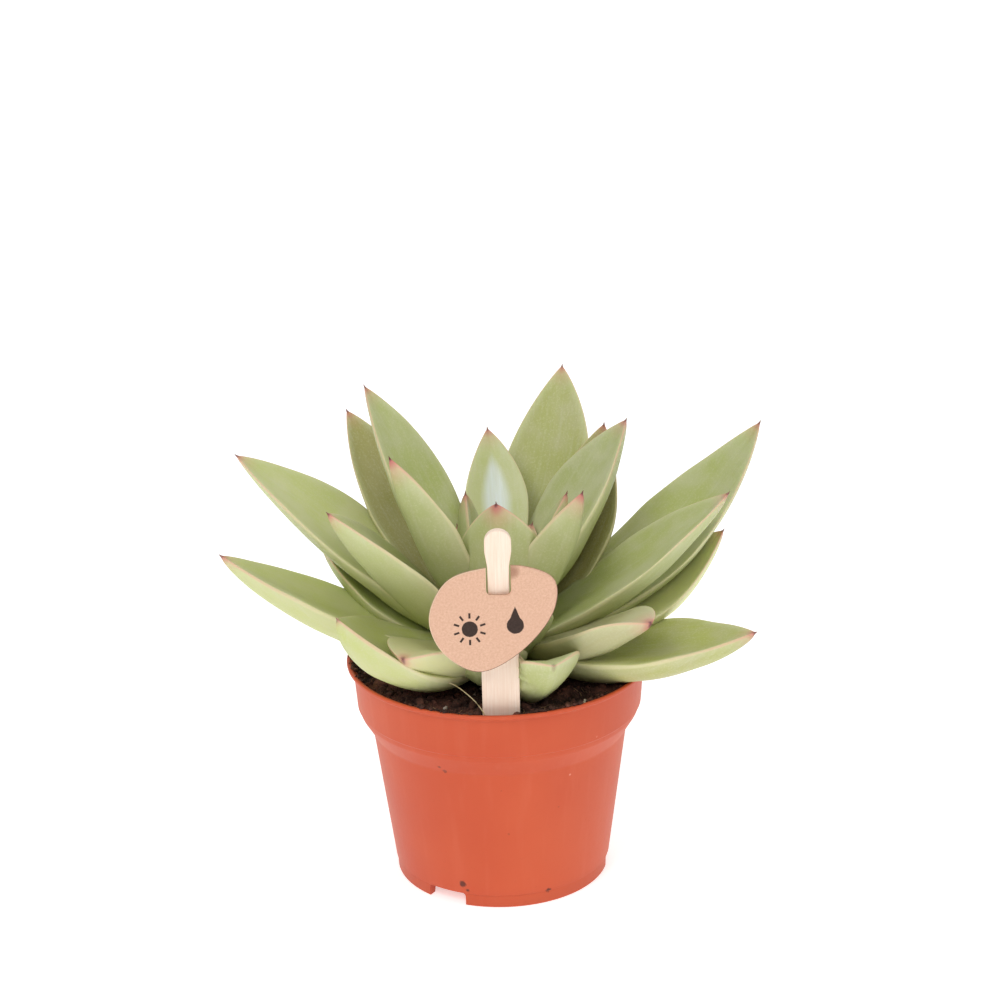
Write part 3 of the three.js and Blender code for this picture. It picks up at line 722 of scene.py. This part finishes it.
def makePerlite():
    p = Paint("perlite", Roughness=0.9)
    place = p.node("ShaderNodeTexCoord", out="Object")
    slow = p.cloud(place, 700.0, 3.0, 0.7)
    base = p.blend(slow.ease(0.35, 0.7), tint(150, 132, 118), tint(226, 216, 204))
    p.bump(slow, 0.0004, 1.0)
    material = p.finish(Base_Color=base)
    draw = random.Random(19)
    ball = ballForm(2)
    points, faces = [], []
    grains = list(perliteInFront)
    for _ in range(soil["perlite"]):
        a, radius = draw.uniform(0, 2 * math.pi), draw.uniform(20, 39)
        grains.append((radius * math.cos(a), radius * math.sin(a), draw.uniform(0.3, 0.9)))
    for x, y, size in grains:
        place = Vector((x, y, soilHeight(x, y) + 0.6 * size))
        addLump(points, faces, ball, place, size, 0.8, draw)
    makePiece("perliteGrains", points, faces, material)


def makeFibres():
    p = Paint("peatFibre", Roughness=0.8)
    place = p.node("ShaderNodeTexCoord", out="Object")
    slow = p.cloud(place, 120.0, 2.0)
    material = p.finish(Base_Color=p.blend(slow.ease(0.35, 0.65), tint(74, 52, 38), tint(150, 118, 88)))
    draw = random.Random(31)
    points, faces = [], []
    for _ in range(soil["fibres"]):
        a, radius = draw.uniform(0, 2 * math.pi), draw.uniform(22, 41.5)
        heading, bend = draw.uniform(0, 2 * math.pi), draw.uniform(-0.5, 0.5)
        x, y = radius * math.cos(a), radius * math.sin(a)
        path = []
        for _ in range(7):
            if math.hypot(x, y) < 42.3:
                path.append(Vector((x, y, soilHeight(x, y) + 0.5 + draw.uniform(0, 0.35))))
            x += 0.8 * math.cos(heading)
            y += 0.8 * math.sin(heading)
            heading += bend
        if len(path) > 3:
            addStrand(points, faces, path, draw.uniform(0.06, 0.14), 4)
    makePiece("peatFibres", points, faces, material)


looseRoot = {"knob": (-17.4, -30.4, 72.6), "middle": (-9.5, -34.5, 74.5), "end": (-4.0, -41.3, 66.0),
             "radius": 0.14, "knobRadius": 0.5, "wave": 0.25, "waves": 9, "steps": 16}


def makeLooseRoot():  # a pale dry root that arches out of the soil beside the pick
    p = Paint("dryRoot", Roughness=0.7)
    place = p.node("ShaderNodeTexCoord", out="Object")
    slow = p.cloud(place, 400.0, 2.0)
    material = p.finish(Base_Color=p.blend(slow.ease(0.3, 0.7), tint(190, 170, 120), tint(222, 208, 170)))
    knob, middle, end = (Vector(looseRoot[key]) for key in ("knob", "middle", "end"))
    points, faces = [], []
    path = []
    for i in range(looseRoot["steps"] + 1):
        s = i / looseRoot["steps"]
        path.append((1 - s) ** 2 * knob + 2 * s * (1 - s) * middle + s * s * end)
        path[-1].x += looseRoot["wave"] * math.sin(looseRoot["waves"] * s)
    addStrand(points, faces, path, looseRoot["radius"], 8)
    addLump(points, faces, ballForm(2), knob, looseRoot["knobRadius"], 0.4, random.Random(3))
    makePiece("looseRoot", points, faces, material)


peat = soilPaint()
makeSoil(peat)
makeCrumbs(peat)
makePerlite()
makeFibres()
makeLooseRoot()
print("soil made")

# Stem
stem = {"profile": [(0, 38, 0), (2.2, 38, 0.8), (6.4, 47, 3), (7.5, 56, 3), (7.5, 74, 3), (5.2, 83, 3),
                    (3.2, 90, 2), (0, 93, 0)], "sides": 72, "step": 0.8, "scar": 0.35}


def makeStem():
    p = Paint("stemSkin", Roughness=0.62)
    place = p.node("ShaderNodeTexCoord", out="Object")
    slow, fine = p.cloud(place, 220.0, 3.0), p.cloud(p.spread(place, (1, 1, 3)), 900.0, 3.0)
    base = p.blend(slow.ease(0.35, 0.65), tint(128, 132, 78), tint(164, 160, 112))
    base = p.blend(fine.ease(0.55, 0.75) * 0.6, base, tint(116, 88, 62))
    p.bump(slow + fine, 0.0004, 0.8)
    material = p.finish(Base_Color=base)
    line = rounded(stem["profile"], 8)
    profile = []
    for (r0, z0), (r1, z1) in zip(line, line[1:]):
        steps = max(1, int(math.hypot(r1 - r0, z1 - z0) / stem["step"]))
        profile += [(r0 + (r1 - r0) * k / steps, z0 + (z1 - z0) * k / steps) for k in range(steps)]
    points, faces = latheMesh(profile + [line[-1]], stem["sides"])
    for point in points:  # rings of old leaf scars
        a = math.atan2(point[1], point[0])
        wave = math.sin(point[2] * 1.9 + 2.4 * math.sin(2 * a)) * math.cos(3 * a + point[2])
        point[:2] *= 1 + stem["scar"] * wave / 9
    makePiece("stemTrunk", points, faces, material, None, ["stem"])


makeStem()


# Pick and tag
def slab(outline, thickness, edge):  # a flat plate with softened edges, in its own plane
    count = len(outline)
    rim = [Vector(p) for p in outline]
    inner = []
    for i, here in enumerate(rim):
        before = (here - rim[i - 1]).normalized()
        after = (rim[(i + 1) % count] - here).normalized()
        side = Vector((-before.y - after.y, before.x + after.x))
        inner.append(here + side * edge / (1 + before.dot(after)))
    half = thickness / 2
    rings = [(inner, -half), (rim, -half + edge), (rim, half - edge), (inner, half)]
    points = [(p.x, p.y, z) for ring, z in rings for p in ring]
    faces = tubeFaces(4, count)
    faces += [tuple(range(count))[::-1], tuple(range(3 * count, 4 * count))]
    return np.array(points), faces


def stood(points, tilt, place):  # turns a flat plate upright, leans it and puts it in place
    a = math.pi / 2 + math.radians(tilt)
    x, y, z = points.T
    return np.stack([x, y * math.cos(a) - z * math.sin(a), y * math.sin(a) + z * math.cos(a)], 1) + place


def woodPaint():
    p = Paint("paleWood", IOR=1.45)
    place = p.place("flat")
    grain = p.cloud(p.spread(place, (2.6, 0.07, 2.6)), 1.0, 5.0, 0.65)
    pores = p.cloud(p.spread(place, (9.0, 0.35, 9.0)), 1.0, 2.0, 0.6)
    slow = p.cloud(p.spread(place, (0.35, 0.05, 0.35)), 1.0, 2.0)
    base = p.blend(grain.ease(0.32, 0.68), tint(242, 216, 194), tint(250, 230, 212))
    base = p.blend(slow.ease(0.4, 0.7) * 0.3, base, tint(246, 220, 198))
    base = p.blend(pores.ease(0.6, 0.76) * 0.3, base, tint(222, 184, 158))
    p.bump(grain * 0.7 + pores, 0.00012, 0.6)
    return p.finish(Base_Color=base, Roughness=0.6 + 0.2 * (grain - 0.5))


def makePick():
    half, neck, head = pick["width"] / 2, pick["neckWidth"] / 2, pick["headWidth"] / 2
    length = pick["length"]
    right = rounded([(pick["tipWidth"] / 2, 0, 0), (half, pick["point"], 4), (half, pick["shoulder"], 3),
                     (neck, pick["neckFoot"], 3), (neck, pick["neckTop"], 3), (head, pick["headMiddle"], 3),
                     (head, length - head, 0)], 6)
    cap = [(head * math.cos(a), length - head + head * math.sin(a))
           for a in np.linspace(0, math.pi, 19)[1:-1]]
    outline = right + cap + [(-x, y) for x, y in reversed(right)]
    points, faces = slab(outline, pick["thickness"], pick["edge"])
    flat = points.copy()
    points[:, 1] -= pick["soilDepth"]
    makePiece("woodenPick", stood(points, pick["lean"], pick["soilPlace"]), faces, woodPaint(),
              {"flat": flat}, ["pick"], 30)


tag = {"thickness": 1.4, "tilt": 8, "centre": (-1.1, -46.2, 98), "edge": 0.32,
       "outline": [(-2, 14.7), (9, 14.9), (17, 11), (16.9, 2.6), (7.4, -9.3), (-4.6, -14.8), (-14.6, -8.6),
                   (-17.8, 1), (-12.6, 11.2)],
       "notch": {"centre": 1.6, "half": 3.4, "foot": 7.1, "corner": 1.4},
       "sun": (-6.6, -2.4), "drop": (6.0, -1.6), "neckShade": (5.2, 13.6)}


def catmull(corners, steps):  # a closed centripetal curve through the corners
    line = []
    count = len(corners)
    for i in range(count):
        p0, p1, p2, p3 = (Vector(corners[(i + k) % count]) for k in (-1, 0, 1, 2))
        t1 = (p1 - p0).length ** 0.5
        t2 = t1 + (p2 - p1).length ** 0.5
        t3 = t2 + (p3 - p2).length ** 0.5
        for k in range(steps):
            t = t1 + (t2 - t1) * k / steps
            a1 = (t1 - t) / t1 * p0 + t / t1 * p1
            a2 = (t2 - t) / (t2 - t1) * p1 + (t - t1) / (t2 - t1) * p2
            a3 = (t3 - t) / (t3 - t2) * p2 + (t - t2) / (t3 - t2) * p3
            b1 = (t2 - t) / t2 * a1 + t / t2 * a2
            b2 = (t3 - t) / (t3 - t1) * a2 + (t - t1) / (t3 - t1) * a3
            line.append(tuple((t2 - t) / (t2 - t1) * b1 + (t - t1) / (t2 - t1) * b2))
    return line


def cardPaint():
    p = Paint("kraftCard", IOR=1.4)
    place = p.place("flat")
    fibres = p.cloud(place, 1.6, 5.0, 0.75)
    flecks = p.cloud(p.spread(place, (2.6, 5.0, 2.6)), 1.0, 2.0, 0.6)
    slow = p.cloud(place, 0.12, 2.0)
    base = p.blend(fibres.ease(0.3, 0.7), tint(208, 164, 138), tint(226, 186, 160))
    base = p.blend(slow.ease(0.3, 0.7) * 0.3, base, tint(216, 172, 146))
    base = p.blend(flecks.ease(0.64, 0.74) * 0.35, base, tint(160, 114, 90))
    split = p.node("ShaderNodeSeparateXYZ", None, [place])
    x, y, z = (Wire(p, split.socket.node.outputs[k]) for k in range(3))
    front = (z - 0.1).ease(0.0, 0.2)
    sunX, sunY = tag["sun"]
    dx, dy = x - sunX, y - sunY
    away = (dx * dx + dy * dy) ** 0.5
    ragged = (fibres - 0.5) * 0.25
    disc = 1 - (away + ragged).ease(2.15, 2.3)
    turns = dy.math("ARCTAN2", dx) * (10 / (2 * math.pi))
    ray = (turns.math("FRACT") - 0.5).math("ABSOLUTE")
    ringed = (away.ease(2.95, 3.1)) * (1 - away.ease(4.5, 4.65)) * (1 - (ray * away).ease(0.42, 0.54))
    dropX, dropY = tag["drop"]
    ex, ey = x - dropX, y - dropY
    low = 1 - ((ex * ex + ey * ey) ** 0.5 + ragged).ease(2.3, 2.45)
    cone = (1 - (ex.math("ABSOLUTE") + (ey - 5.4) * 0.42 + ragged).ease(-0.1, 0.05)) * ey.ease(0.6, 0.7)
    ink = (disc + ringed + (low + cone)).math("MINIMUM", 1.0) * front
    base = p.blend(ink * (1.0 - 0.08 * fibres), base, tint(34, 22, 20))
    shadeX, shadeY = tag["neckShade"]  # the pick's shadow on the card, painted
    shadow = 1 - (((x - shadeX) / 2.6) ** 2.0 + ((y - shadeY) / 2.2) ** 2.0).ease(0.0, 1.3)
    base = p.blend(shadow * 0.6, base, tint(130, 82, 56))
    # painted shade: the rim darker towards the lower right, away from the light
    paintedShadeRim = p.mark("rim").ease(0.1, 0.7) * (x * 0.5 - y * 0.8).ease(-2.0, 8.0)
    base = p.blend(paintedShadeRim * 0.85, base, tint(92, 56, 40))
    # painted light: the rim paler towards the upper left, where the light comes from
    paintedLightRim = p.mark("rim").ease(0.1, 0.7) * (y * 0.4 - x).ease(-2.0, 8.0)
    base = p.blend(paintedLightRim * 0.6, base, tint(242, 216, 186))
    cutEdge = 1 - z.math("ABSOLUTE").ease(0.3, 0.42)
    base = p.blend(cutEdge * 0.7, base, tint(140, 94, 68))
    p.bump(fibres, 0.00012, 0.7)
    return p.finish(Base_Color=base, Roughness=0.82 + 0.1 * (fibres - 0.5))


def makeTag():
    cut = tag["notch"]
    left, right = cut["centre"] - cut["half"], cut["centre"] + cut["half"]
    rim = catmull(tag["outline"], 14)
    top = sorted(p for p in rim if p[1] > 10)
    corners = [(x, float(np.interp(x, *zip(*top)))) for x in (left, right)]
    rest = [p for p in rim if p[1] < 10 or not left - 1 < p[0] < right + 1]
    first = next(i for i, p in enumerate(rest) if rest[i - 1][0] < left and p[0] > right)
    slot = rounded([(*corners[0], 0), (left, cut["foot"], cut["corner"]), (right, cut["foot"], cut["corner"]),
                    (*corners[1], 0)], 6)
    outline = slot + rest[first:] + rest[:first]
    points, faces = slab(outline[::-1], tag["thickness"], tag["edge"])
    rims = [0 if ring in (0, 3) else 1 for ring in range(4) for _ in outline]
    makePiece("cardTag", stood(points, -tag["tilt"], tag["centre"]), faces, cardPaint(),
              {"flat": points, "rim": rims}, ["tag"], 30)


makePick()
makeTag()
print("pick and tag made")

# Floor and light
studio = {"floor": 14.0, "world": 0.5, "key": (-0.8, -1.25, 1.6), "keySize": 0.9, "keyPower": 14,
          "fill": (1.6, -0.9, 0.9), "fillSize": 1.2, "fillPower": 5,
          "back": (0.3, 1.6, 1.9), "backSize": 1.4, "backPower": 13,
          "strip": (0.16, -1.5, 1.37), "stripSize": 0.35, "stripPower": 3.5, "glow": 0.5}


def makeFloor():
    p = Paint("paleFloor", Roughness=0.9, Specular_IOR_Level=0.1)
    p.skin.inputs["Emission Color"].default_value = (1, 1, 1, 1)
    p.skin.inputs["Emission Strength"].default_value = studio["glow"]
    place = p.node("ShaderNodeTexCoord", out="Object")
    slow = p.cloud(place, 0.8, 2.0)
    material = p.finish(Base_Color=p.blend(slow, (0.86, 0.86, 0.86), (0.9, 0.9, 0.9)))
    half = studio["floor"]
    mesh = bpy.data.meshes.new("floor")
    corners = [(-half, -half, 0), (half, -half, 0), (half, half, 0), (-half, half, 0)]
    mesh.from_pydata(corners, [], [(0, 1, 2, 3)])
    mesh.materials.append(material)
    floor = bpy.data.objects.new("floor", mesh)
    bpy.context.scene.collection.objects.link(floor)


def makeLight(name):
    data = bpy.data.lights.new(name, "AREA")
    data.size = studio[name + "Size"]
    data.energy = studio[name + "Power"]
    light = bpy.data.objects.new(name, data)
    place = Vector(studio[name])
    light.matrix_world = Matrix.Translation(place) @ (
        place - Vector((0, 0, 0.08))).to_track_quat("Z", "Y").to_matrix().to_4x4()
    bpy.context.scene.collection.objects.link(light)


def makeWorld():
    world = bpy.data.worlds.new("studio")
    world.use_nodes = True
    sky = world.node_tree.nodes["Background"]
    sky.inputs["Color"].default_value = (1, 1, 1, 1)
    sky.inputs["Strength"].default_value = studio["world"]
    bpy.context.scene.world = world
    bpy.context.scene.view_settings.view_transform = "Standard"


makeFloor()
for name in ("key", "fill", "back", "strip"):
    makeLight(name)
makeWorld()
print("studio made")
